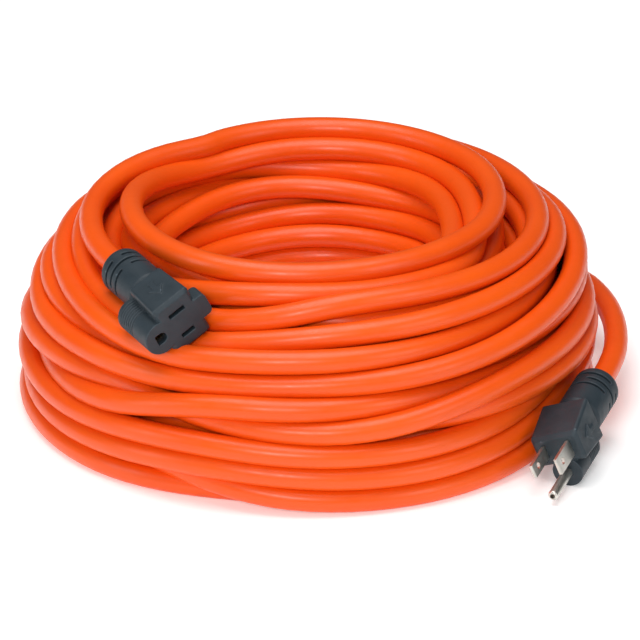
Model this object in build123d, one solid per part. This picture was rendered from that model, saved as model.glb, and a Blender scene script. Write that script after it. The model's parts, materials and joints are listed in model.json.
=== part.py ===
from build123d import *
import math
import os

os.makedirs("parts", exist_ok=True)

# ---------------------------------------------------------------- driving sizes (mm)
# Three-core 12 AWG outdoor cord.
CORD_D = 11.0
CONDUCTOR_D = 3.9
COPPER_D = 2.4
CORE_SPACING = 0.35          # jacket left between two neighbouring conductors

# Wound coil of cord, lying on the floor.
COIL_OUTER_R = 136.5
COIL_HOLE_R = 50.0
COIL_CREST_R = 85.0
COIL_CREST_FLAT = 1.5
COIL_HEIGHT = 101.0
COIL_FOOT_ROUND = 12.0
COIL_FLANK_Z = 30.0          # the side is upright to here
COIL_SHOULDER = (120.5, 69.0)
COIL_THROAT = (62.0, 61.0)
COIL_GAP = 0.8               # air between the coil and the two moulded ends

# Blade pattern of the 15 A, 125 V grounded plug and connector.
BLADE_PITCH = 12.7
GROUND_DROP = 11.9
BLADE_T = 1.5
BLADE_TIP = 0.45             # bevel all round the tip
HOT_W = 6.35
NEUTRAL_W = 7.9
BLADE_PROUD = 17.5
BLADE_HOLE_D = 3.2
BLADE_HOLE_Z = 11.7
PIN_D = 4.76
PIN_PROUD = 21.0
PIN_WALL = 1.1
PIN_SHANK_D = 4.2            # the pin steps down where the moulding grips it
PIN_SEAM = 0.7
PIN_FLOOR = 3.0              # solid metal behind the hollow
SLOT_GAP = 0.3               # all round a blade in its slot
GROUND_GAP = 0.25            # all round the ground pin in its hole
CUT = 1.0                    # how far a cutting solid runs past the face it opens

# Moulded ends: block, strain-relief barrel and ground barrel.
PLUG_LEN = 58.0
PLUG_BLOCK_LEN = 25.0
PLUG_BLOCK_W = 23.6
PLUG_BLOCK_FRONT = (7.3, 7.3)    # above and below the blades' line, at the face
PLUG_BLOCK_BACK = (12.4, 9.2)    # the same at the back, where the grip is taller
PLUG_LOBE_R = 7.2
PLUG_LOBE_LEN = 28.0
CONN_LEN = 59.0
CONN_BLOCK_LEN = 26.5
CONN_BLOCK_W = 27.6
CONN_BLOCK_FRONT = (9.8, 9.8)
CONN_BLOCK_BACK = (8.6, 8.6)
CONN_LOBE_R = 8.0
CONN_LOBE_LEN = 29.0
EAR_W = 11.6
EAR_TOP = 14.8
EAR_LEN = 10.0
EAR_ROUND = 2.5
LOBE_DOME = 3.0
BLOCK_ROUND = 1.6
FACE_CHAMFER = 1.6
BACK_CHAMFER = 2.4
BARREL_D = 21.5
BARREL_ROOT_D = 13.0
BARREL_FLARE = 7.0
BARREL_ROUND = 4.5
LIP_WALL = 1.4               # moulding left round the cord at its exit
PLUG_SHAPE = (PLUG_BLOCK_W, PLUG_BLOCK_FRONT, PLUG_BLOCK_BACK, PLUG_BLOCK_LEN, PLUG_LEN,
              (PLUG_LOBE_R, PLUG_LOBE_LEN))
CONN_SHAPE = (CONN_BLOCK_W, CONN_BLOCK_FRONT, CONN_BLOCK_BACK, CONN_BLOCK_LEN, CONN_LEN,
              (CONN_LOBE_R, CONN_LOBE_LEN))

# Grooves that let the strain relief bend, and finger ribs on the ground barrel.
GROOVE_ROWS = 3
GROOVE_PITCH = 4.4
GROOVE_W = 1.5
GROOVE_DEPTH = 1.8
GROOVE_FROM_END = 6.0
GROOVE_BRIDGE_W = 5.0
RIB_COUNT = 7
RIB_PITCH = 1.7
RIB_W = 0.9
RIB_DEPTH = 0.7
RIB_FROM_END = 5.0
ARROW_L = 10.0
ARROW_W = 7.5
ARROW_H = 0.7

# Hard plastic and metal inside the ends.
BRIDGE_FRONT = 6.0
BRIDGE_LEN = 6.0
BRIDGE_WALL = 2.2
INSERT_FRONT = 2.5
INSERT_LEN = CONN_BLOCK_LEN - 6.0   # ends this far short of the block, less its front
INSERT_WALL = 1.3
CAP_T = 1.8
LEAF_T = 0.6
LEAF_NIP = 2.0               # from the mouth to where the leaves touch the blade
LEAF_FLARE = 0.4             # opened this much at the mouth
LEAF_ROOT = 6.0
LEAF_SPREAD = 0.5            # and this much beside the root
CONTACT_GAP = 0.25           # contact to the walls of its pocket
CONTACT_LEN = INSERT_LEN - 3.5    # deep enough for the whole 21 mm ground pin
CONTACT_DEPTH = 1.0          # behind the wall that the blades pass
MOUTH_SETBACK = 1.6
SLEEVE_T = 0.6
SLEEVE_GAP = 0.05            # all round the ground pin
SLEEVE_HOOP = 3.0            # uncut length at the back
SLEEVE_CUT = 1.0
TAIL_W = 2.6
TAIL_T = 0.8
CRIMP_LEN = 6.0
CRIMP_T = 0.5
PLUG_CRIMP_Z = 20.0
CONN_CRIMP_Z = CONN_BLOCK_LEN
TAIL_BITE = 1.0              # how far a tail runs into the pieces at its two ends
BLADE_ROOT_Z = 16.0
STRIP_GAP = 1.5              # bare copper between the crimp and the first bend
JACKET_BEHIND = 17.0         # from the front of the crimps to the end of the jacket
GROUND_LIFT = 4.6            # ground crimp sits this much nearer the cord's axis
WIRE_BEND_R = 3.5

# Where the two ends lie, with the coil's axis at x = 0, y = 0 (origin is each mating face).
PLUG_AT = (112.5, -103.2, 18.2)
PLUG_X = (-0.847, 0.375, -0.376)
PLUG_TO_CORD = (0.361, 0.926, 0.110)
CONN_AT = (-55.2, -106.7, 83.4)
CONN_X = (-0.388, -0.291, 0.875)
CONN_TO_CORD = (-0.507, 0.860, 0.062)

# Routes of the two free leads, from each strain relief to where they join the coil.
LEAD_START = 22.0
ARC_SHARE = 0.45             # of the shorter run beside a corner, taken by its arc
PLUG_LEAD_POINTS = [
    (144.6, -4.0, 27.4),
    (144.0, 20.0, 27.6),
    (139.6, 45.0, 26.6),
    (131.0, 68.0, 25.0),
    (114.0, 90.0, 22.5),
    (90.0, 105.0, 20.0),
]
CONN_LEAD_POINTS = [
    (-101.2, -5.5, 89.0),
    (-98.2, 18.0, 90.6),
    (-87.0, 38.0, 93.4),
    (-69.5, 54.0, 95.0),
    (-48.5, 65.0, 95.0),
]


def slab(low, high):
    """Box between two corners."""
    size = [h - l for l, h in zip(low, high)]
    mid = [(h + l) / 2 for l, h in zip(low, high)]
    return Pos(*mid) * Box(*size)


def rod(x, y, z0, z1, radius):
    """Cylinder along Z at x, y from z0 to z1."""
    return Pos(x, y, (z0 + z1) / 2) * Cylinder(radius, z1 - z0)


def revolve_outline(points):
    """Solid of revolution about Z of a closed outline in r, z."""
    outline = make_face(Plane.XZ * Polyline(*points, close=True))
    return revolve(outline, Axis.Z)


# ---------------------------------------------------------------- moulded skin of an end
def strain_relief(block_len, length, grow=0.0):
    """Barrel that flares out of the block and closes in on the cord."""
    r = BARREL_D / 2 + grow
    lip = CORD_D / 2 + LIP_WALL + grow
    flare_z = block_len - BARREL_FLARE / 2
    end = length + grow
    round_r = min(BARREL_ROUND, r - lip)
    outline = [
        (0, flare_z),
        (BARREL_ROOT_D / 2, flare_z),
        (r, block_len + BARREL_FLARE / 2),
        (r, end - round_r),
    ]
    steps = 6
    for k in range(1, steps + 1):
        a = math.pi / 2 * k / steps
        outline.append((r - round_r + round_r * math.cos(a), end - round_r + round_r * math.sin(a)))
    outline.append((0, end))
    return revolve_outline(outline)


def ground_barrel(radius, length, grow=0.0):
    """Round lobe behind the ground pin or hole, with a domed end."""
    r = radius + grow
    end = length + grow
    outline = [(0, -grow), (r, -grow), (r, end - LOBE_DOME)]
    steps = 5
    for k in range(1, steps + 1):
        a = math.pi / 2 * k / steps
        outline.append((max(r * math.cos(a), 0), end - LOBE_DOME + LOBE_DOME * math.sin(a)))
    return Pos(0, -GROUND_DROP, 0) * revolve_outline(outline)


def block_section(width, front, back, length, z, grow):
    """Section of the grip at z: its reach above and below the blades' line runs front to back."""
    above, below = [f + (b - f) * z / length + grow for f, b in zip(front, back)]
    section = RectangleRounded(width + 2 * grow, above + below, BLOCK_ROUND)
    return Pos(0, (above - below) / 2, z) * section


def block(width, front, back, length, grow=0.0):
    """Grip with flat sides, rounded long edges and bevelled ends."""
    shape = (width, front, back, length)
    if grow:
        return loft([block_section(*shape, z, grow) for z in (-grow, length + grow)], ruled=True)
    stops = [(0, -FACE_CHAMFER), (FACE_CHAMFER, 0), (length - BACK_CHAMFER, 0), (length, -BACK_CHAMFER)]
    return loft([block_section(*shape, z, inset) for z, inset in stops], ruled=True)


def ear(grow=0.0):
    """Key on the connector's face, opposite the ground hole."""
    height = EAR_TOP + grow
    face = RectangleRounded(EAR_W + 2 * grow, height, EAR_ROUND)
    body = Pos(0, height / 2, -grow) * extrude(face, EAR_LEN + 2 * grow)
    if grow:
        return body
    back = body.faces().sort_by(Axis.Z)[-1]
    return chamfer(back.edges(), FACE_CHAMFER)


def relief_grooves(length):
    """Rows of ring grooves, each broken by two bridges that change sides row by row."""
    r = BARREL_D / 2
    cut = None
    for row in range(GROOVE_ROWS):
        z = length - GROOVE_FROM_END - row * GROOVE_PITCH
        ring = rod(0, 0, z - GROOVE_W, z, r + CUT) - rod(0, 0, z - GROOVE_W, z, r - GROOVE_DEPTH)
        across = 2 * (r + CUT)
        wide = (across, GROOVE_BRIDGE_W) if row % 2 == 0 else (GROOVE_BRIDGE_W, across)
        ring = ring - Pos(0, 0, z - GROOVE_W / 2) * Box(wide[0], wide[1], 2 * GROOVE_W)
        cut = ring if cut is None else cut + ring
    return cut


def lobe_ribs(radius, length):
    """Fine ring grooves round the back of the ground barrel."""
    cut = None
    for k in range(RIB_COUNT):
        z = length - RIB_FROM_END - k * RIB_PITCH
        ring = rod(0, -GROUND_DROP, z - RIB_W, z, radius + CUT)
        ring = ring - rod(0, -GROUND_DROP, z - RIB_W, z, radius - RIB_DEPTH)
        cut = ring if cut is None else cut + ring
    return cut


def arrow(width, block_len, side):
    """Plain raised arrow on a side face, pointing at the mating face."""
    tip = block_len / 2 - ARROW_L / 2
    neck = tip + ARROW_L * 0.5
    w = ARROW_W / 2
    outline = [(tip, 0), (neck, w), (neck, w / 3), (tip + ARROW_L, w / 3),
               (tip + ARROW_L, -w / 3), (neck, -w / 3), (neck, -w)]
    points = [(y, z) for z, y in outline]
    sheet = make_face(Plane.YZ * Polyline(*points, close=True))
    plate = extrude(sheet, (width / 2 + ARROW_H) * side, dir=(1, 0, 0))
    keep = (width / 2 - CUT) * side
    far = (width / 2 + ARROW_H + CUT) * side
    inside = slab((min(keep, far), -ARROW_W, 0), (max(keep, far), ARROW_W, block_len))
    return plate & inside


def end_skin(width, front, back, block_len, length, lobe, with_ear):
    """Outer shape of a moulded end, before the parts inside it are taken out."""
    skin = ground_barrel(*lobe) - lobe_ribs(*lobe)
    skin = skin + block(width, front, back, block_len) + strain_relief(block_len, length)
    if with_ear:
        skin = skin + ear()
    skin = skin - relief_grooves(length)
    return skin + arrow(width, block_len, 1) + arrow(width, block_len, -1)


def end_room(width, front, back, block_len, length, lobe, with_ear, proud=0.0):
    """The same outer shape, a gap larger all round, and the blades' space, that the coil keeps clear."""
    room = block(width, front, back, block_len, COIL_GAP)
    room = room + strain_relief(block_len, length, COIL_GAP)
    room = room + ground_barrel(*lobe, COIL_GAP)
    if with_ear:
        room = room + ear(COIL_GAP)
    if proud:
        half_w, half_h = width / 2 + COIL_GAP, front[0] + COIL_GAP
        low = -GROUND_DROP - PIN_D / 2 - COIL_GAP
        room = room + slab((-half_w, low, -proud - COIL_GAP), (half_w, half_h, 0))
    return room


# ---------------------------------------------------------------- conductors inside an end
def lay_point(crimp_xy):
    """Place in the round cord of the conductor that goes to a crimp."""
    r = (CONDUCTOR_D + CORE_SPACING) / math.sqrt(3)
    if crimp_xy[0] == 0:
        return 0, -r
    return math.copysign(r * math.cos(math.pi / 6), crimp_xy[0]), r / 2


def wire(crimp_xy, crimp_z, length, diameter):
    """Round solid from the cord's section to a crimp."""
    x, y = lay_point(crimp_xy)
    cx, cy = crimp_xy
    points = [(x, y, length), (x, y, crimp_z + JACKET_BEHIND - CUT),
              (cx, cy, crimp_z + CRIMP_LEN + STRIP_GAP), (cx, cy, crimp_z)]
    path = FilletPolyline(*points, radius=WIRE_BEND_R)
    start = Plane(origin=path @ 0, z_dir=path % 0)
    return sweep(start * Circle(diameter / 2), path=path)


def conductors(prefix, sites, crimp_z, length):
    """Insulation and copper of the three conductors, by node name."""
    nodes = {}
    bare = crimp_z + CRIMP_LEN + STRIP_GAP / 2
    for name, xy in sites.items():
        core = wire(xy, crimp_z, length, COPPER_D)
        skin = wire(xy, crimp_z, length, CONDUCTOR_D)
        stripped = rod(xy[0], xy[1], crimp_z - CUT, bare, CONDUCTOR_D)
        nodes[prefix + name + "_core"] = core
        nodes[prefix + name + "_insulation"] = skin - core - stripped
    return nodes


def jacket_end(crimp_z, length, wires):
    """Orange jacket inside the strain relief, with a passage for each conductor."""
    jacket = rod(0, 0, crimp_z + JACKET_BEHIND, length, CORD_D / 2)
    for solid in wires.values():
        jacket = jacket - solid
    return jacket


def crimp(x, y, root_z, crimp_z, core_y, cross_z=0.0):
    """Flat tail, crossing to the copper's line where that is another, and the crimped barrel."""
    r = COPPER_D / 2
    end = crimp_z + TAIL_BITE
    barrel = rod(x, core_y, crimp_z, crimp_z + CRIMP_LEN, r + CRIMP_T)
    tail = slab((x - TAIL_T / 2, y - TAIL_W / 2, root_z), (x + TAIL_T / 2, y + TAIL_W / 2, end))
    if core_y != y:
        tail = tail + slab((x - TAIL_T / 2, min(y, core_y) - TAIL_W / 2, max(root_z, cross_z)),
                           (x + TAIL_T / 2, max(y, core_y) + TAIL_W / 2, end))
    bore = rod(x, core_y, crimp_z - CUT, crimp_z + CRIMP_LEN + CUT, r)
    return tail + barrel - bore


def sites_for(hot_side):
    """Crimp place of each conductor; hot lies on +X or -X."""
    x = BLADE_PITCH / 2 * hot_side
    return {"hot": (x, 0), "neutral": (-x, 0), "ground": (0, -GROUND_DROP + GROUND_LIFT)}


# ---------------------------------------------------------------- plug
def flat_blade(x, width):
    """Straight blade with bevelled tip and a round hole, and its crimp tail."""
    bar = slab((x - BLADE_T / 2, -width / 2, -BLADE_PROUD), (x + BLADE_T / 2, width / 2, BLADE_ROOT_Z))
    tip = bar.faces().sort_by(Axis.Z)[0].edges()
    bar = chamfer(tip, BLADE_TIP)
    hole = Pos(x, 0, -BLADE_HOLE_Z) * Rot(0, 90, 0) * Cylinder(BLADE_HOLE_D / 2, BLADE_T * 2)
    return bar - hole + crimp(x, 0, BLADE_ROOT_Z - TAIL_BITE, PLUG_CRIMP_Z, 0)


def round_pin():
    """Ground pin rolled from strip: hollow, with a seam and a rounded tip."""
    y = -GROUND_DROP
    tube = rod(0, y, -PIN_PROUD, 0, PIN_D / 2)
    tube = fillet(tube.faces().sort_by(Axis.Z)[0].edges(), PIN_WALL)
    tube = tube + rod(0, y, 0, BLADE_ROOT_Z, PIN_SHANK_D / 2)
    tube = tube - rod(0, y, -PIN_PROUD - CUT, BLADE_ROOT_Z - PIN_FLOOR, PIN_D / 2 - PIN_WALL)
    seam = slab((-PIN_SEAM / 2, y - PIN_D, -PIN_PROUD - CUT), (PIN_SEAM / 2, y, -PIN_SEAM))
    return tube - seam + crimp(0, y, BLADE_ROOT_Z - TAIL_BITE, PLUG_CRIMP_Z, y + GROUND_LIFT)


def build_plug():
    """All pieces of the plug, in its own frame: mating face at z = 0, cord towards +Z."""
    sites = sites_for(1)
    wires = conductors("plug_", sites, PLUG_CRIMP_Z, PLUG_LEN)
    nodes = {
        "plug_hot_blade": flat_blade(sites["hot"][0], HOT_W),
        "plug_neutral_blade": flat_blade(sites["neutral"][0], NEUTRAL_W),
        "plug_ground_pin": round_pin(),
    }
    half_w = BLADE_PITCH / 2 + BLADE_T / 2 + BRIDGE_WALL
    top = NEUTRAL_W / 2 + BRIDGE_WALL / 2
    low = -GROUND_DROP - PIN_D / 2 - BRIDGE_WALL / 2
    foot = PIN_D / 2 + BRIDGE_WALL / 2
    z0, z1 = BRIDGE_FRONT, BRIDGE_FRONT + BRIDGE_LEN
    bridge = slab((-half_w, -top, z0), (half_w, top, z1)) + slab((-foot, low, z0), (foot, 0, z1))
    for solid in nodes.values():
        bridge = bridge - solid
    bridge = bridge - rod(0, -GROUND_DROP, z0, z1, PIN_SHANK_D / 2)
    nodes["plug_blade_bridge"] = bridge
    nodes["plug_jacket_end"] = jacket_end(PLUG_CRIMP_Z, PLUG_LEN, wires)
    nodes.update(wires)
    skin = end_skin(*PLUG_SHAPE, False)
    for solid in nodes.values():
        skin = skin - solid
    skin = skin - rod(0, -GROUND_DROP, -CUT, BLADE_ROOT_Z - PIN_FLOOR, PIN_SHANK_D / 2)
    nodes["plug_overmould"] = skin
    return nodes


# ---------------------------------------------------------------- connector
def blade_contact(x, width):
    """Two sprung leaves that wipe both faces of a blade, and the crimp tail."""
    z0 = INSERT_FRONT + MOUTH_SETBACK + CONTACT_DEPTH
    z1 = z0 + CONTACT_LEN
    t = LEAF_T
    nip = BLADE_T / 2
    wide = nip + LEAF_SPREAD
    mouth = nip + LEAF_FLARE
    leaf = [(mouth, z0), (nip, z0 + LEAF_NIP), (wide, z0 + LEAF_ROOT), (wide, z1), (wide + t, z1),
            (wide + t, z0 + LEAF_ROOT), (nip + t, z0 + LEAF_NIP), (mouth + t, z0)]
    both = None
    for side in (1, -1):
        points = [(side * a, b) for a, b in leaf]
        sheet = make_face(Plane.XZ * Polyline(*points, close=True))
        half = extrude(sheet, width / 2, both=True)
        both = half if both is None else both + half
    back = slab((-wide - t, -width / 2, z1 - t), (wide + t, width / 2, z1))
    return Pos(x, 0, 0) * (both + back) + crimp(x, 0, z1 - t / 2, CONN_CRIMP_Z, 0)


def pin_contact():
    """Split sleeve that grips the ground pin, and its crimp tail."""
    y = -GROUND_DROP
    z0 = INSERT_FRONT + MOUTH_SETBACK + CONTACT_DEPTH
    z1 = z0 + CONTACT_LEN
    r = PIN_D / 2 + SLEEVE_GAP
    sleeve = rod(0, y, z0, z1, r + SLEEVE_T) - rod(0, y, z0 - CUT, z1 - SLEEVE_T, r)
    cut = slab((-SLEEVE_CUT / 2, y - PIN_D, z0 - CUT), (SLEEVE_CUT / 2, y + PIN_D, z1 - SLEEVE_HOOP))
    cap_back = INSERT_FRONT + INSERT_LEN + CAP_T
    return sleeve - cut + crimp(0, y, z1 - SLEEVE_T / 2, CONN_CRIMP_Z, y + GROUND_LIFT, cap_back)


def slot(x, width, z0, z1):
    """Opening for a flat blade, with its gap."""
    half = BLADE_T / 2 + SLOT_GAP
    tall = width / 2 + SLOT_GAP
    return slab((x - half, -tall, z0), (x + half, tall, z1))


def ground_hole(z0, z1):
    """Opening for the ground pin: round towards the blades, square on the far side."""
    r = PIN_D / 2 + GROUND_GAP
    far = slab((-r, -GROUND_DROP - r, z0), (r, -GROUND_DROP, z1))
    return rod(0, -GROUND_DROP, z0, z1, r) + far


def build_connector():
    """All pieces of the connector, in its own frame: mating face at z = 0, cord towards +Z."""
    sites = sites_for(-1)
    hot_x, neutral_x = sites["hot"][0], sites["neutral"][0]
    wires = conductors("connector_", sites, CONN_CRIMP_Z, CONN_LEN)
    nodes = {
        "connector_hot_contact": blade_contact(hot_x, HOT_W),
        "connector_neutral_contact": blade_contact(neutral_x, NEUTRAL_W),
        "connector_ground_contact": pin_contact(),
    }
    contacts = dict(nodes)
    leaf_room = BLADE_T / 2 + LEAF_SPREAD + LEAF_T + CONTACT_GAP
    sleeve_room = PIN_D / 2 + SLEEVE_GAP + SLEEVE_T + CONTACT_GAP
    z0, z1 = INSERT_FRONT, INSERT_FRONT + INSERT_LEN
    half_w = BLADE_PITCH / 2 + leaf_room + INSERT_WALL
    top = NEUTRAL_W / 2 + CONTACT_GAP + INSERT_WALL
    tower = sleeve_room + INSERT_WALL
    case = slab((-half_w, -top, z0), (half_w, top, z1)) + rod(0, -GROUND_DROP, z0, z1, tower)
    case = case + slab((-tower, -GROUND_DROP, z0), (tower, 0, z1))
    plate = slab((-half_w, -top, z1), (half_w, top, z1 + CAP_T))
    plate = plate + rod(0, -GROUND_DROP, z1, z1 + CAP_T, tower)
    plate = plate + slab((-tower, -GROUND_DROP, z1), (tower, 0, z1 + CAP_T))
    pocket_z = z0 + MOUTH_SETBACK
    openings = slot(hot_x, HOT_W, -CUT, pocket_z) + slot(neutral_x, NEUTRAL_W, -CUT, pocket_z)
    openings = openings + ground_hole(-CUT, pocket_z)
    pockets = rod(0, -GROUND_DROP, pocket_z, z1, sleeve_room)
    for x, width in ((hot_x, HOT_W), (neutral_x, NEUTRAL_W)):
        tall = width / 2 + CONTACT_GAP
        pockets = pockets + slab((x - leaf_room, -tall, pocket_z), (x + leaf_room, tall, z1))
    for solid in contacts.values():
        plate = plate - solid
    nodes["connector_contact_block"] = case - pockets - openings
    nodes["connector_block_cap"] = plate
    nodes["connector_jacket_end"] = jacket_end(CONN_CRIMP_Z, CONN_LEN, wires)
    nodes.update(wires)
    skin = end_skin(*CONN_SHAPE, True)
    skin = skin - case - plate - openings
    for solid in nodes.values():
        skin = skin - solid
    nodes["connector_overmould"] = skin
    return nodes


# ---------------------------------------------------------------- the cord
def corner_radii(points):
    """Largest tangent arc for each corner, from its shorter run and half its turn."""
    radii = []
    for a, b, c in zip(points, points[1:], points[2:]):
        before, after = Vector(*b) - Vector(*a), Vector(*c) - Vector(*b)
        turn = math.radians(before.get_angle(after))
        radii.append(ARC_SHARE * min(before.length, after.length) / math.tan(turn / 2))
    return radii


def lead_start(place, length):
    """First two points of a lead, straight out of its strain relief."""
    return [tuple((place * Pos(0, 0, z)).position) for z in (length, length + LEAD_START)]


def cord_tube(name, points):
    """Plain tube along straight runs joined by tangent arcs."""
    radii = corner_radii(points)
    path = FilletPolyline(*points, radius=radii)
    start = Plane(origin=path @ 0, z_dir=path % 0)
    tube = sweep(start * Circle(CORD_D / 2), path=path)
    expected = math.pi * CORD_D ** 2 / 4 * path.length
    runs = [round((Vector(*b) - Vector(*a)).length, 1) for a, b in zip(points, points[1:])]
    print(name, "radii", [round(r, 1) for r in radii], "runs", runs)
    print(name, "length", round(path.length, 1), "volume ratio", round(tube.volume / expected, 4))
    return tube


def coil_ring():
    """Outer shape of the wound coil: wide foot, sloping shoulder, narrow crest, open middle."""
    half = CORD_D / 2
    crest_out = COIL_CREST_R + half + COIL_CREST_FLAT
    crest_in = COIL_CREST_R - half
    side = COIL_OUTER_R - COIL_FOOT_ROUND
    foot_in = COIL_HOLE_R + half
    nook = COIL_FOOT_ROUND * (1 - math.sqrt(0.5))
    edges = [
        Line((foot_in, 0), (side, 0)),
        ThreePointArc((side, 0), (COIL_OUTER_R - nook, nook), (COIL_OUTER_R, COIL_FOOT_ROUND)),
        Line((COIL_OUTER_R, COIL_FOOT_ROUND), (COIL_OUTER_R, COIL_FLANK_Z)),
        ThreePointArc((COIL_OUTER_R, COIL_FLANK_Z), COIL_SHOULDER, (crest_out, COIL_HEIGHT)),
        Line((crest_out, COIL_HEIGHT), (crest_in, COIL_HEIGHT)),
        ThreePointArc((crest_in, COIL_HEIGHT), COIL_THROAT, (COIL_HOLE_R, half)),
        Line((COIL_HOLE_R, half), (foot_in, 0)),
    ]
    outline = make_face(Plane.XZ * (Curve() + edges))
    return revolve(outline, Axis.Z)


# ---------------------------------------------------------------- assembly
plug_place = Plane(origin=PLUG_AT, x_dir=PLUG_X, z_dir=PLUG_TO_CORD).location
conn_place = Plane(origin=CONN_AT, x_dir=CONN_X, z_dir=CONN_TO_CORD).location
nodes = {name: plug_place * solid for name, solid in build_plug().items()}
nodes.update({name: conn_place * solid for name, solid in build_connector().items()})

plug_start = lead_start(plug_place, PLUG_LEN)
conn_start = lead_start(conn_place, CONN_LEN)
plug_lead = cord_tube("plug_lead", plug_start + PLUG_LEAD_POINTS)
conn_lead = cord_tube("connector_lead", conn_start + CONN_LEAD_POINTS)

coil = coil_ring() - plug_lead - conn_lead
coil = coil - plug_place * end_room(*PLUG_SHAPE, False, PIN_PROUD)
coil = coil - conn_place * end_room(*CONN_SHAPE, True)
nodes["plug_lead"] = plug_lead
nodes["connector_lead"] = conn_lead
nodes["cord_coil"] = coil

# The frame's origin is the middle of the whole object's box, on the floor.
boxes = [solid.bounding_box() for solid in nodes.values()]
low = [min(getattr(b.min, axis) for b in boxes) for axis in "XYZ"]
high = [max(getattr(b.max, axis) for b in boxes) for axis in "XYZ"]
to_origin = Pos(-(low[0] + high[0]) / 2, -(low[1] + high[1]) / 2, -low[2])
print("coil axis moves to", [round(v, 3) for v in to_origin.position])
print("box", [round(v, 2) for v in low], [round(v, 2) for v in high])
for name, solid in nodes.items():
    export_step(to_origin * solid, "parts/" + name + ".step")
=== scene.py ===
import json
import math

import bpy
import numpy as np
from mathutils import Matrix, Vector


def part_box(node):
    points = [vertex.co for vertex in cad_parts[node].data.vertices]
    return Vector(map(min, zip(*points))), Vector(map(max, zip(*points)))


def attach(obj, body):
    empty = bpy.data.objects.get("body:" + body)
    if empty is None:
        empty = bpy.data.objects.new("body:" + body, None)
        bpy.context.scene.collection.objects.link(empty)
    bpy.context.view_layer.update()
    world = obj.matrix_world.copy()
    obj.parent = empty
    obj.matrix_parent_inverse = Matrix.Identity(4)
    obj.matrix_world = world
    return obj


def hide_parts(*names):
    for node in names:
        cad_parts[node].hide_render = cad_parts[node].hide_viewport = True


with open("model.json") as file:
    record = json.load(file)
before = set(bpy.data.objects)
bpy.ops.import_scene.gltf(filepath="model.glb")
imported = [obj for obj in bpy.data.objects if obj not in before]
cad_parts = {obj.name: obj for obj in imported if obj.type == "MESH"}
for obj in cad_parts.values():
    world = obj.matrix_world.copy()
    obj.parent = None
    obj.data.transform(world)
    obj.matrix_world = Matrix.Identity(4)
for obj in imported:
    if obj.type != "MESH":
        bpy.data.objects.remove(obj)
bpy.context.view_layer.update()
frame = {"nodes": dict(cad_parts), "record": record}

# ------------------------------------------------------------------ the orange cord
# A hundred feet of three-core outdoor cord, 11 mm across, in a smooth orange PVC jacket.
# It is wound by hand into a loose coil, layer on layer, and its two ends lie on the outside.
# The turns start where a winder would lay them, then settle against each other and the floor.
CORD_D = 0.011
HALF = CORD_D / 2
STATIONS = 30                      # points in one turn
coil_low, coil_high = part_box("cord_coil")
COIL_MIDDLE = np.array([(coil_low.x + coil_high.x) / 2, 0.0, 0.0])

# Each moulded end: the middle of its mating face, its side and its back; up is square to both.
PLUG_FACE = np.array([0.1125, -0.1032, 0.0182])
PLUG_SIDE = np.array([-0.847294, 0.374997, -0.376125])
PLUG_BACK = np.array([0.361019, 0.926048, 0.110006])
CONNECTOR_FACE = np.array([-0.0552, -0.1067, 0.0834])
CONNECTOR_SIDE = np.array([-0.387478, -0.291483, 0.874585])
CONNECTOR_BACK = np.array([-0.506875, 0.859788, 0.061985])
PLUG_LONG = 0.058
PLUG_BLOCK = 0.025                 # the grip's length, from the mating face back
CONNECTOR_LONG = 0.059
CONNECTOR_BLOCK = 0.0265
STRAIGHT_OUT = 0.022               # each lead leaves its strain relief straight for this far


def on_end(face, side, back, across, up, behind):
    """A point given in a moulded end's own directions."""
    return face + across * side + up * np.cross(back, side) + behind * back


plug_exit = on_end(PLUG_FACE, PLUG_SIDE, PLUG_BACK, 0, 0, PLUG_LONG)
plug_start = on_end(PLUG_FACE, PLUG_SIDE, PLUG_BACK, 0, 0, PLUG_LONG + STRAIGHT_OUT)
connector_exit = on_end(CONNECTOR_FACE, CONNECTOR_SIDE, CONNECTOR_BACK, 0, 0, CONNECTOR_LONG)
connector_start = on_end(CONNECTOR_FACE, CONNECTOR_SIDE, CONNECTOR_BACK, 0, 0,
                         CONNECTOR_LONG + STRAIGHT_OUT)

# The two leads, point by point from the strain relief towards the coil, in metres.
PLUG_LEAD = [(0.1446, -0.0040, 0.0274), (0.1440, 0.0200, 0.0276), (0.1396, 0.0450, 0.0266),
             (0.1310, 0.0680, 0.0250), (0.1140, 0.0900, 0.0225), (0.0900, 0.1050, 0.0200)]
CONNECTOR_LEAD = [(-0.1012, -0.0055, 0.0890), (-0.0982, 0.0180, 0.0906),
                  (-0.0870, 0.0380, 0.0934), (-0.0695, 0.0540, 0.0950),
                  (-0.0485, 0.0650, 0.0950)]

# The top turns, listed one by one: degrees round the coil, radius and height in millimetres.
TOP_TURNS = np.array([
    (180, 101, 89.4), (168, 99.5, 91), (156, 95, 93.4), (144, 89, 94.8), (132, 82.6, 95.2),
    (120, 83.5, 95.4), (90, 85, 95.5), (60, 88, 95.5), (33, 91, 95.5), (14, 88, 95.5),
    (-10, 85, 95.5), (-50, 85, 95.5), (-90, 85, 95.5), (-120, 85, 95.5), (-150, 83, 95.3),
    (-180, 82, 94.5), (-210, 82, 91), (-240, 82, 87.5), (-270, 82, 85.5), (-300, 81, 85.5),
    (-330, 79.5, 87.5), (-346, 76, 89), (-360, 75, 89.5), (-390, 81, 89.5), (-420, 88, 89),
    (-450, 93, 88.8), (-474, 92, 87), (-488, 90, 83), (-500, 88, 77), (-515, 89, 70.5),
    (-528, 92, 68.5), (-540, 95, 69),
    (-570, 90, 73), (-600, 84, 77), (-630, 80, 78), (-660, 77, 79), (-690, 72, 82),
    (-706, 67, 84), (-720, 67, 84.5), (-750, 77, 82.5), (-780, 86, 79), (-810, 93, 76.5),
    (-834, 96, 70), (-852, 98, 64), (-870, 100, 61), (-900, 103, 61)], float)
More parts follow.
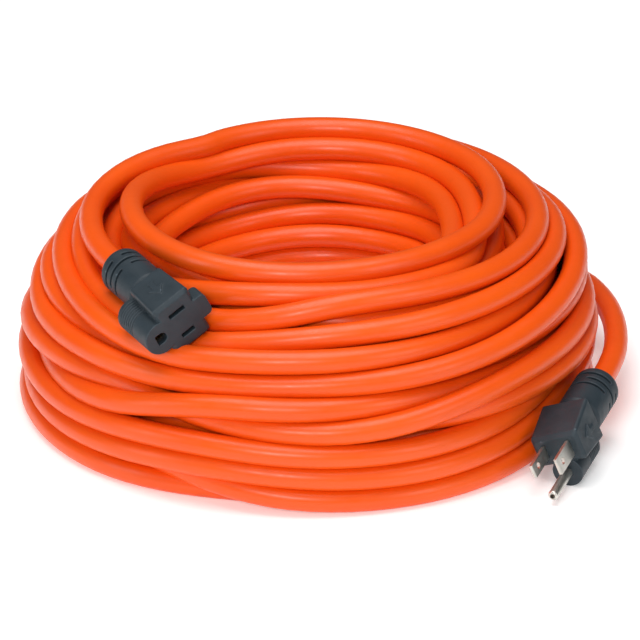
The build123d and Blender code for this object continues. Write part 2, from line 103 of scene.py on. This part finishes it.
# The layers below: height, radius of the first and of the last turn, and turns in the layer.
LAYERS = [(81.5, 103, 103, 1), (73.5, 111, 75, 4), (64.8, 70.5, 118, 5), (55.5, 122.5, 66, 6),
          (46, 62, 126.3, 6), (36.8, 128, 59, 6), (26.3, 56, 130, 7), (15.8, 130.5, 54, 7),
          (5.5, 56, 130.5, 6)]
# The section that the winding keeps to: height, inner radius and outer radius.
SECTION = np.array([
    (5, 53, 131), (15, 53, 131), (26, 55, 130.5), (37, 58, 129), (46.5, 61, 127), (56, 65, 123),
    (65, 69.5, 118.5), (74, 74, 112), (81.5, 77, 105), (88, 80, 96), (95.5, 83, 91.5)], float)
# The right-hand shoulder is fuller: height, and how much further out and up it goes there.
SHOULDER = np.array([
    (0, 0, 0), (26, 1, 2), (46, 3, 5), (56, 5, 8), (65, 8, 9), (74, 11, 6), (82, 12, 2),
    (96, 0, 0)], float)
SHOULDER_AT = 15                   # degrees
# The last turn's climb out of the bottom layer to the plug's lead: degrees, radius and height.
LAST_CLIMB = np.array([(150, 131, 8), (120, 132.5, 13), (90, 134.5, 17), (72, 136, 18.5),
                       (60, 137, 19.2)], float)
CLIMB_POINTS = 8                   # points that the climb sets
CLIMB_STEPS = 11                   # points that follow the last whole turn
LEAD_POINTS = 5                    # first points, where the connector's lead runs instead
PASS_FROM, PASS_SPREAD = 0.3, 0.35  # where in a turn the cord passes to the next one
PASS_LONG = 0.35                   # share of a turn that the passing takes
SLACKNESS = 4.5                    # millimetres that a turn wanders from its layer
SEED = 7


def eased(share):
    """A share of the way from 0 to 1, with a soft start and stop."""
    share = np.clip(share, 0, 1)
    return share * share * (3 - 2 * share)


draws = np.random.default_rng(SEED)
layer_turns = np.array([(radius, height) for height, first, last, count in LAYERS
                        for radius in np.linspace(first, last, count)])
count = len(layer_turns)
top_points = int(round((TOP_TURNS[0, 0] - TOP_TURNS[-1, 0]) / 360 * STATIONS))
total = top_points + count * STATIONS + CLIMB_STEPS
step = np.arange(total)
degrees = 180 - 360 * step / STATIONS
angle = np.radians(degrees)
along_x, along_y = np.cos(angle), np.sin(angle)

# Layer turns: each passes to the next over a third of a turn, at a place that wanders.
below = step - top_points
turn = np.clip(below // STATIONS, 0, count - 1)
passing = PASS_FROM + PASS_SPREAD * draws.random(count + 1)
share = eased(((below % STATIONS) / STATIONS - passing[turn]) / PASS_LONG)
share[below >= count * STATIONS] = 1
share = share[:, None]
with_last = np.vstack([layer_turns, layer_turns[-1:]])
laid = with_last[turn] * (1 - share) + with_last[np.minimum(turn + 1, count)] * share

# Fuller on the right-hand shoulder, most at the outside of the coil and none at its hole.
section_in = np.interp(laid[:, 1], SECTION[:, 0], SECTION[:, 1])
section_out = np.interp(laid[:, 1], SECTION[:, 0], SECTION[:, 2])
outward = np.clip((laid[:, 0] - section_in) / (section_out - section_in), 0, 1)
facing = ((1 + np.cos(angle - math.radians(SHOULDER_AT))) / 2) ** 2
bulge = np.column_stack([np.interp(laid[:, 1], SHOULDER[:, 0], SHOULDER[:, k]) for k in (1, 2)])
laid = laid + bulge * (outward * facing)[:, None]

# Slack: each turn is tilted and off centre by a little, which changes slowly along the cord.
wander = draws.normal(0, 1.0, (count + 2, 4))
place = np.maximum(below, 0) / STATIONS
whole = np.floor(place).astype(int)
between = eased(place - whole)[:, None]
drift = wander[whole] * (1 - between) + wander[whole + 1] * between
laid[:, 0] += SLACKNESS * (drift[:, 0] * along_x + drift[:, 1] * along_y)
laid[:, 1] += SLACKNESS * (drift[:, 2] * along_x + drift[:, 3] * along_y)

# Top turns as listed, eased into the first layer, and the last turn's climb to the plug's lead.
by_hand = step <= top_points
for k in (0, 1):
    laid[by_hand, k] = np.interp(-degrees[by_hand], -TOP_TURNS[:, 0], TOP_TURNS[:, k + 1])
into = eased((step - top_points) / (STATIONS * 0.5))[:, None]
laid = np.where(by_hand[:, None], laid, TOP_TURNS[-1, 1:] * (1 - into) + laid * into)
climbing = step >= total - CLIMB_POINTS
turned = degrees[climbing] + 360 * round((LAST_CLIMB[-1, 0] - degrees[-1]) / 360)
for k in (0, 1):
    laid[climbing, k] = np.interp(-turned, -LAST_CLIMB[:, 0], LAST_CLIMB[:, k + 1])
laid = laid / 1000
laid[:, 1] = np.maximum(laid[:, 1], HALF)

# What the turns rest against: the two moulded ends and the two leads, as rounded bars.
BARREL_R = 0.01075                 # the strain relief
BARREL_ROUND = 0.009               # how far its bar stops short of its open end
GROUND_UP = -0.0119                # ground pin or hole, from the line of the blades
BLADE_OUT = 0.00635                # each blade, from the middle
BLADE_PROUD, PIN_PROUD = 0.017, 0.020
METAL_R = 0.003                    # room round each blade and the pin
GRIP_STOP = 0.005                  # how far the grip's bars stop short of its back
LOBE_START, LOBE_SPARE = 0.006, 0.002
KEY_START, KEY_END, KEY_R = 0.005, 0.006, 0.0068
# Each grip's bars: distance to each side, up, start behind the face, and radius.
PLUG_GRIP = [(0.005, 0, 0.006, 0.0073), (0.0045, 0.0035, 0.015, 0.0085),
             (0.0045, -0.001, 0.015, 0.008)]
CONNECTOR_GRIP = [(0.0045, 0, 0.007, 0.0096)]
# Each ground lobe: its radius and how far back it runs.
PLUG_LOBE = (0.0072, 0.028)
CONNECTOR_LOBE = (0.008, 0.029)
CONNECTOR_KEY_UP = 0.008


def end_bars(face, side, back, long, block, grip, lobe, key_up=None):
    """One moulded end as bars: strain relief, grip, ground lobe, and the key if it has one."""
    bars = [(on_end(face, side, back, 0, 0, block),
             on_end(face, side, back, 0, 0, long - BARREL_ROUND), BARREL_R)]
    for apart, up, behind, thick in grip:
        for hand in (-1, 1):
            bars.append((on_end(face, side, back, hand * apart, up, behind),
                         on_end(face, side, back, hand * apart, up, block - GRIP_STOP), thick))
    half_lobe, lobe_long = lobe
    bars.append((on_end(face, side, back, 0, GROUND_UP, LOBE_START),
                 on_end(face, side, back, 0, GROUND_UP, lobe_long - half_lobe + LOBE_SPARE),
                 half_lobe))
    if key_up:
        bars.append((on_end(face, side, back, 0, key_up, KEY_START),
                     on_end(face, side, back, 0, key_up, KEY_END), KEY_R))
    return bars


body_bars = end_bars(PLUG_FACE, PLUG_SIDE, PLUG_BACK, PLUG_LONG, PLUG_BLOCK, PLUG_GRIP, PLUG_LOBE)
body_bars += end_bars(CONNECTOR_FACE, CONNECTOR_SIDE, CONNECTOR_BACK, CONNECTOR_LONG,
                      CONNECTOR_BLOCK, CONNECTOR_GRIP, CONNECTOR_LOBE, CONNECTOR_KEY_UP)
for across, up, proud in ((-BLADE_OUT, 0, BLADE_PROUD), (BLADE_OUT, 0, BLADE_PROUD),
                          (0, GROUND_UP, PIN_PROUD)):
    body_bars.append((on_end(PLUG_FACE, PLUG_SIDE, PLUG_BACK, across, up, -proud),
                      on_end(PLUG_FACE, PLUG_SIDE, PLUG_BACK, across, up, 0), METAL_R))
plug_run = [plug_exit, plug_start] + [np.array(point) for point in PLUG_LEAD]
connector_run = [connector_exit, connector_start] + [np.array(CONNECTOR_LEAD[0])]
lead_bars = [(a, b, HALF) for run in (plug_run, connector_run) for a, b in zip(run, run[1:])]


# Settling: in each round the cord straightens a little, sags and is pressed off what it touches.
ROUNDS, QUICK_ROUNDS = 400, 120
STIFF = 0.25                       # share of the change in bend taken out in a round
LAST_STIFF, LAST_ROUNDS = 0.2, 40  # a second share, in the last rounds
LEAST_BEND = 0.049                 # a bend tighter than this is opened, in metres
BEND_MARGIN = 0.006                # how much tighter before it is opened in full
OPENING, OPENING_ROUNDS = 0.5, 80  # share of the bend opened in a round, in the last rounds
BESIDE_BEND = 0.7                  # share of that opening for the points next to a tight one
HAND_HOLD, LAYER_HOLD = 0.10, 0.02  # pull back to where a turn was laid
SAG = 0.00005                      # metres in a round
PRESS, BAR_PRESS = 0.6, 0.8        # share of an overlap undone in a round
GAP = 0.0004                       # air left beside the ends and the leads
OUT_MARGIN, IN_MARGIN = 1.2, 1.5   # millimetres that the section gives way
WIDEST_LAYER, WIDEST_BY_HAND, NARROWEST_BY_HAND = 130.8, 140, 60
CLIMB_OUT = 7                      # how much wider the last climb may swing
# Room for the connector: where it lies, how far it reaches, and the height left under it.
CONNECTOR_AT, CONNECTOR_REACH, CONNECTOR_FADE = -135, 46, 22
CEILING = 96
UNDER_CONNECTOR = np.array([(88, 96), (93, 87), (100, 77), (104, 73)], float)
TOP_MIDDLE = 0.0955                # highest that the middle of a strand may lie


def apart_at_stations(points):
    """How far each point moves off the strands that pass the same place round the coil."""
    missing = -len(points) % STATIONS
    far = np.full((missing, 2), 10.0) + np.arange(missing)[:, None]
    grid = np.vstack([points, far]).reshape(-1, STATIONS, 2).transpose(1, 0, 2)
    gap = grid[:, :, None, :] - grid[:, None, :, :]
    distance = np.sqrt((gap ** 2).sum(-1)) + 1e-12
    np.einsum("sii->si", distance)[:] = 1.0
    pressed = np.maximum(CORD_D - distance, 0)
    move = (gap / distance[..., None] * pressed[..., None] * 0.5).sum(2)
    touching = (pressed > 0).sum(2)
    move = move * (np.minimum(touching, 2) / np.maximum(touching, 1) * PRESS)[..., None]
    return move.transpose(1, 0, 2).reshape(-1, 2)[:len(points)]


def in_room(points):
    """Radius and height at each place round the coil, as x, y and z."""
    return np.column_stack([points[:, 0] * along_x, points[:, 0] * along_y, points[:, 1]])


# The first and last points never move, and those that join a lead are not pressed off it.
rounds = ROUNDS
strand = laid.copy()
fixed = (step < LEAD_POINTS) | (step >= total - 2)
joins_lead = (step < LEAD_POINTS + 2) | (step >= total - 5)
held = np.where(by_hand, HAND_HOLD, LAYER_HOLD)[:, None]
beside_connector = np.abs((degrees - CONNECTOR_AT + 180) % 360 - 180)
under = eased((CONNECTOR_REACH - beside_connector) / CONNECTOR_FADE)
for passed in range(rounds):
    for share in ((STIFF,) if passed < rounds - LAST_ROUNDS else (STIFF, LAST_STIFF)):
        bend = np.zeros_like(strand)
        bend[1:-1] = (strand[:-2] + strand[2:]) / 2 - strand[1:-1]
        change = np.zeros_like(strand)
        change[1:-1] = (bend[:-2] + bend[2:]) / 2 - bend[1:-1]
        strand = strand - share * change
    if passed >= rounds - OPENING_ROUNDS:
        leg = np.diff(in_room(strand), axis=0)
        long_leg = np.sqrt((leg ** 2).sum(1))
        turning = (leg[1:] * leg[:-1]).sum(1) / (long_leg[1:] * long_leg[:-1])
        radius = (long_leg[1:] + long_leg[:-1]) / 2 / (np.arccos(np.clip(turning, -1, 1)) + 1e-9)
        tight = np.zeros(total)
        tight[1:-1] = np.clip((LEAST_BEND - radius) / BEND_MARGIN, 0, 1)
        tight = np.maximum(tight, np.maximum(np.roll(tight, 1), np.roll(tight, -1)) * BESIDE_BEND)
        strand = strand + OPENING * tight[:, None] * bend
    strand = strand + held * (laid - strand)
    strand[~by_hand, 1] -= SAG
    strand = strand + apart_at_stations(strand)
    move = apart_at_stations((strand[:-1] + strand[1:]) / 2) * PRESS
    strand[:-1] += move
    strand[1:] += move
    where = in_room(strand)
    for number, (start, end, thick) in enumerate(body_bars + lead_bars):
        run = end - start
        nearest = np.clip(((where - start) @ run) / (run @ run), 0, 1)
        off = where - start - nearest[:, None] * run
        distance = np.sqrt((off ** 2).sum(1)) + 1e-12
        pressed = np.maximum(thick + HALF + GAP - distance, 0)
        pressed[joins_lead if number >= len(body_bars) else step < LEAD_POINTS] = 0
        move = off / distance[:, None] * pressed[:, None] * BAR_PRESS
        strand[:, 0] += move[:, 0] * along_x + move[:, 1] * along_y
        strand[:, 1] += move[:, 2]
    height = strand[:, 1] * 1000
    widest = np.interp(height, SECTION[:, 0], SECTION[:, 2]) + OUT_MARGIN
    widest += np.interp(height, SHOULDER[:, 0], SHOULDER[:, 1]) * facing
    widest = np.where(by_hand, WIDEST_BY_HAND, np.minimum(widest, WIDEST_LAYER))
    widest = widest + np.where(step >= total - CLIMB_POINTS - 1, CLIMB_OUT, 0)
    narrowest = np.interp(height, SECTION[:, 0], SECTION[:, 1]) - IN_MARGIN
    narrowest = np.where(by_hand, NARROWEST_BY_HAND, narrowest)
    strand[:, 0] = np.clip(strand[:, 0], narrowest / 1000, widest / 1000)
    allowed = np.interp(strand[:, 0] * 1000, UNDER_CONNECTOR[:, 0], UNDER_CONNECTOR[:, 1])
    ceiling = CEILING - (CEILING - allowed) * under
    strand[LEAD_POINTS:, 1] = np.minimum(strand[LEAD_POINTS:, 1], ceiling[LEAD_POINTS:] / 1000)
    strand[:, 1] = np.clip(strand[:, 1], HALF, TOP_MIDDLE)
    strand[fixed] = laid[fixed]

# One cord from end to end: out of the connector, round the coil and into the plug.
route = np.vstack([[connector_exit, connector_start], CONNECTOR_LEAD,
                   in_room(strand)[LEAD_POINTS:],
                   PLUG_LEAD[::-1], [plug_start, plug_exit]]) + COIL_MIDDLE

line = bpy.data.curves.new("cord", "CURVE")
line.dimensions = "3D"
line.resolution_u = 3
line.bevel_depth = HALF
line.bevel_resolution = 8
line.use_fill_caps = True
spline = line.splines.new("NURBS")
spline.points.add(len(route) - 1)
for point, at in zip(spline.points, route):
    point.co = (*at, 1.0)
spline.order_u = 3
spline.use_endpoint_u = True
spline.use_smooth = True
cord = bpy.data.objects.new("cord", line)
bpy.context.scene.collection.objects.link(cord)


def start_finish(name):
    """A new material, its node tree, its shader, and the place that patterns are laid out by."""
    material = bpy.data.materials.new(name)
    material.use_nodes = True
    tree = material.node_tree
    shader = tree.nodes["Principled BSDF"]
    place = tree.nodes.new("ShaderNodeTexCoord")
    return material, tree, shader, place.outputs["Object"]


def mottle(tree, place, size, detail=3.0, rough=0.5):
    """Even, cloudy variation, with patches of about the given size in metres."""
    noise = tree.nodes.new("ShaderNodeTexNoise")
    noise.inputs["Scale"].default_value = 1 / size
    noise.inputs["Detail"].default_value = detail
    noise.inputs["Roughness"].default_value = rough
    tree.links.new(place, noise.inputs["Vector"])
    return noise.outputs["Fac"]


def graded(tree, amount, stops):
    """Colours from an amount: stops are position and colour."""
    ramp = tree.nodes.new("ShaderNodeValToRGB")
    while len(ramp.color_ramp.elements) < len(stops):
        ramp.color_ramp.elements.new(0.5)
    for element, (position, colour) in zip(ramp.color_ramp.elements, stops):
        element.position = position
        element.color = (*colour, 1)
    tree.links.new(amount, ramp.inputs["Fac"])
    return ramp.outputs["Color"]


def ranged(tree, amount, low, high):
    """An amount moved to run from low to high over its middle."""
    span = tree.nodes.new("ShaderNodeMapRange")
    span.inputs["From Min"].default_value = 0.3
    span.inputs["From Max"].default_value = 0.7
    span.inputs["To Min"].default_value = low
    span.inputs["To Max"].default_value = high
    tree.links.new(amount, span.inputs["Value"])
    return span.outputs["Result"]


def raised(tree, amount, height, strength=1.0, under=None):
    """Small relief from an amount, of the given height in metres."""
    bump = tree.nodes.new("ShaderNodeBump")
    bump.inputs["Strength"].default_value = strength
    bump.inputs["Distance"].default_value = height
    tree.links.new(amount, bump.inputs["Height"])
    if under is not None:
        tree.links.new(under, bump.inputs["Normal"])
    return bump.outputs["Normal"]


orange, tree, shader, at = start_finish("orange_jacket")
dye = mottle(tree, at, 0.045, 4.0)
tree.links.new(graded(tree, dye, [(0.25, (0.80, 0.080, 0.0015)), (0.75, (0.87, 0.100, 0.003))]),
               shader.inputs["Base Color"])
haze = mottle(tree, at, 0.006, 5.0, 0.6)
tree.links.new(ranged(tree, haze, 0.30, 0.42), shader.inputs["Roughness"])
ripple = raised(tree, mottle(tree, at, 0.012, 2.0), 0.0004, 0.35)
tree.links.new(raised(tree, mottle(tree, at, 0.0008, 2.0), 0.00001, 0.25, ripple),
               shader.inputs["Normal"])
shader.inputs["Specular IOR Level"].default_value = 0.42
cord.data.materials.append(orange)
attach(cord, "root")
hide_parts("cord_coil", "plug_lead", "connector_lead")
for name in ("plug_jacket_end", "connector_jacket_end"):
    frame["nodes"][name].data.materials.clear()
    frame["nodes"][name].data.materials.append(orange)

# ------------------------------------------------------------------ the two moulded ends
# Each end is one moulding of flexible PVC, dark slate grey, shot round the blades or the contact
# block and over the cord: a bevelled grip, a ribbed barrel behind the ground pin or hole, and a
# strain relief with broken grooves. Every edge is softened, as the tool leaves it.
slate, tree, shader, at = start_finish("slate_moulding")
flow = mottle(tree, at, 0.011, 4.0)
# Edges are painted a little paler: a painted highlight where light catches the chamfers and
# bevels.
edge = tree.nodes.new("ShaderNodeNewGeometry")
painted_edge_highlight = tree.nodes.new("ShaderNodeMapRange")
painted_edge_highlight.inputs["From Min"].default_value = 0.52
painted_edge_highlight.inputs["From Max"].default_value = 0.62
tree.links.new(edge.outputs["Pointiness"], painted_edge_highlight.inputs["Value"])
blend = tree.nodes.new("ShaderNodeMix")
blend.data_type = "RGBA"
tree.links.new(painted_edge_highlight.outputs["Result"], blend.inputs["Factor"])
tree.links.new(graded(tree, flow, [(0.3, (0.017, 0.027, 0.035)), (0.7, (0.025, 0.038, 0.048))]),
               blend.inputs["A"])
# the painted highlight colour on the edges
blend.inputs["B"].default_value = (0.070, 0.095, 0.115, 1)
tree.links.new(blend.outputs["Result"], shader.inputs["Base Color"])
tree.links.new(ranged(tree, mottle(tree, at, 0.004, 5.0), 0.46, 0.60), shader.inputs["Roughness"])
broad = raised(tree, mottle(tree, at, 0.005, 2.0), 0.00012, 0.4)
tree.links.new(raised(tree, mottle(tree, at, 0.00035, 3.0, 0.7), 0.00004, 0.6, broad),
               shader.inputs["Normal"])
shader.inputs["Specular IOR Level"].default_value = 0.38

SKIN_GRID = 0.0003                 # fine enough for the finger ribs and the broken grooves
SKIN_KEPT = 0.4                    # share of those fine faces that are kept
WELD = 0.000002


def apply_modifier(body, kind, **settings):
    """Add a modifier with its settings to the selected body, and apply it."""
    bpy.ops.object.modifier_add(type=kind)
    for setting, value in settings.items():
        setattr(body.modifiers[-1], setting, value)
    bpy.ops.object.modifier_apply(modifier=body.modifiers[-1].name)


for piece, node in (("plug_body", "plug_overmould"), ("connector_body", "connector_overmould")):
    bpy.ops.object.select_all(action="DESELECT")
    body = frame["nodes"][node].copy()
    body.data = frame["nodes"][node].data.copy()
    for key in list(body.keys()):
        del body[key]
    body.parent = None
    body.name = piece
    bpy.context.scene.collection.objects.link(body)
    body.select_set(True)
    bpy.context.view_layer.objects.active = body
    bpy.ops.object.mode_set(mode="EDIT")
    bpy.ops.mesh.select_all(action="SELECT")
    bpy.ops.mesh.remove_doubles(threshold=WELD)
    bpy.ops.object.mode_set(mode="OBJECT")
    apply_modifier(body, "REMESH", mode="VOXEL", voxel_size=SKIN_GRID)
    apply_modifier(body, "SMOOTH", factor=0.5, iterations=1)
    apply_modifier(body, "DECIMATE", ratio=SKIN_KEPT)
    bpy.ops.object.shade_smooth()
    body.data.materials.clear()
    body.data.materials.append(slate)
    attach(body, "root")
    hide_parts(node)

# ------------------------------------------------------------------ blades and ground pin
# Two flat blades and a pin rolled from strip, stamped in brass and nickel plated.
# The plate is satin, a little uneven in tone and in shine, with very faint relief.
nickel, tree, shader, at = start_finish("nickel_blade")
shader.inputs["Metallic"].default_value = 1.0
plate = mottle(tree, at, 0.004, 4.0)
tree.links.new(graded(tree, plate, [(0.3, (0.56, 0.54, 0.49)), (0.7, (0.68, 0.66, 0.61))]),
               shader.inputs["Base Color"])
rubs = mottle(tree, at, 0.0025, 3.0)
tree.links.new(ranged(tree, rubs, 0.34, 0.46), shader.inputs["Roughness"])
dimples = mottle(tree, at, 0.0012, 2.0)
tree.links.new(raised(tree, dimples, 0.000006, 0.3), shader.inputs["Normal"])

# ------------------------------------------------------------------ inserts and conductors
# Inside the ends: sprung brass contacts in a black plastic block with its cap, the bridge that
# holds the blades, and three stranded copper conductors in black, white and green insulation.
# Each finish: dark and light colour, metal or not, least and most roughness, patch size.
FINISHES = {
    "contact_brass": ((0.62, 0.42, 0.16), (0.76, 0.55, 0.24), 1.0, 0.24, 0.40, 0.0015),
    "insert_plastic": ((0.020, 0.020, 0.022), (0.034, 0.034, 0.036), 0.0, 0.38, 0.52, 0.0020),
    "copper": ((0.70, 0.30, 0.16), (0.86, 0.42, 0.25), 1.0, 0.22, 0.38, 0.0008),
    "black_insulation": ((0.012, 0.012, 0.013), (0.022, 0.022, 0.024), 0.0, 0.30, 0.42, 0.0030),
    "white_insulation": ((0.74, 0.74, 0.70), (0.84, 0.84, 0.80), 0.0, 0.30, 0.42, 0.0030),
    "green_insulation": ((0.015, 0.24, 0.06), (0.028, 0.33, 0.09), 0.0, 0.30, 0.42, 0.0030),
}
inner = {"nickel_blade": nickel}
for name, (dark, light, metal, smooth, dull, size) in FINISHES.items():
    inner[name], tree, shader, at = start_finish(name)
    shader.inputs["Metallic"].default_value = metal
    tone = mottle(tree, at, size * 2)
    tree.links.new(graded(tree, tone, [(0.3, dark), (0.7, light)]), shader.inputs["Base Color"])
    haze = mottle(tree, at, size, 5.0)
    tree.links.new(ranged(tree, haze, smooth, dull), shader.inputs["Roughness"])
    grain = mottle(tree, at, size / 4)
    tree.links.new(raised(tree, grain, 0.00002, 0.4), shader.inputs["Normal"])
for part in frame["record"]["subparts"]:
    if part["material_slot"] in inner:
        cad_node = frame["nodes"][part["node"]]
        cad_node.data.materials.clear()
        cad_node.data.materials.append(inner[part["material_slot"]])

# ------------------------------------------------------------------ floor, light and camera
# A plain white floor that runs out of view, under four soft boxes: overhead, front and each side.
# The camera is far off with a long lens, and looks down at the coil over the two ends.
bpy.ops.object.select_all(action="DESELECT")
bpy.ops.mesh.primitive_plane_add(size=12, location=(0, 0, 0))
floor = bpy.context.object
floor.name = "floor"
paper, tree, shader, at = start_finish("white_sweep")
shader.inputs["Base Color"].default_value = (0.92, 0.92, 0.92, 1)
shader.inputs["Roughness"].default_value = 0.9
shader.inputs["Emission Color"].default_value = (1.0, 1.0, 1.0, 1)
shader.inputs["Emission Strength"].default_value = 0.28
floor.data.materials.append(paper)

world = bpy.data.worlds.new("studio")
world.use_nodes = True
world.node_tree.nodes["Background"].inputs["Color"].default_value = (1.0, 1.0, 1.0, 1)
world.node_tree.nodes["Background"].inputs["Strength"].default_value = 0.10
bpy.context.scene.world = world


def soft_box(name, place, aim, width, tall, power):
    """A rectangular soft light that faces its aim; sizes in metres, power in watts."""
    lamp = bpy.data.lights.new(name, "AREA")
    lamp.shape = "RECTANGLE"
    lamp.size = width
    lamp.size_y = tall
    lamp.energy = power
    box = bpy.data.objects.new(name, lamp)
    box.location = place
    box.rotation_euler = (Vector(aim) - Vector(place)).to_track_quat("-Z", "Y").to_euler()
    bpy.context.scene.collection.objects.link(box)


soft_box("overhead", (-0.1, -0.1, 1.6), (0, 0, 0), 1.5, 1.2, 23)
soft_box("front", (-0.35, -2.2, 1.25), (0, 0, 0.03), 0.5, 0.4, 21)
soft_box("left_side", (-1.5, -0.7, 0.6), (0, 0, 0.04), 0.5, 0.9, 5)
soft_box("right_side", (1.3, -1.3, 0.8), (0, 0, 0.04), 0.4, 0.9, 6)

LOOK_DOWN = math.radians(25)
AWAY = 2.2
AIM_X, AIM_Z = -0.0011, 0.0346
LENS = 264.375                     # millimetres, on a 36 mm sensor
camera_data = bpy.data.cameras.new("camera")
camera_data.sensor_width = 36
camera_data.lens = LENS
camera = bpy.data.objects.new("camera", camera_data)
camera.location = (AIM_X, -AWAY * math.cos(LOOK_DOWN), AIM_Z + AWAY * math.sin(LOOK_DOWN))
camera.rotation_euler = (math.pi / 2 - LOOK_DOWN, 0, 0)
bpy.context.scene.collection.objects.link(camera)
bpy.context.scene.camera = camera
bpy.context.scene.view_settings.view_transform = "Standard"
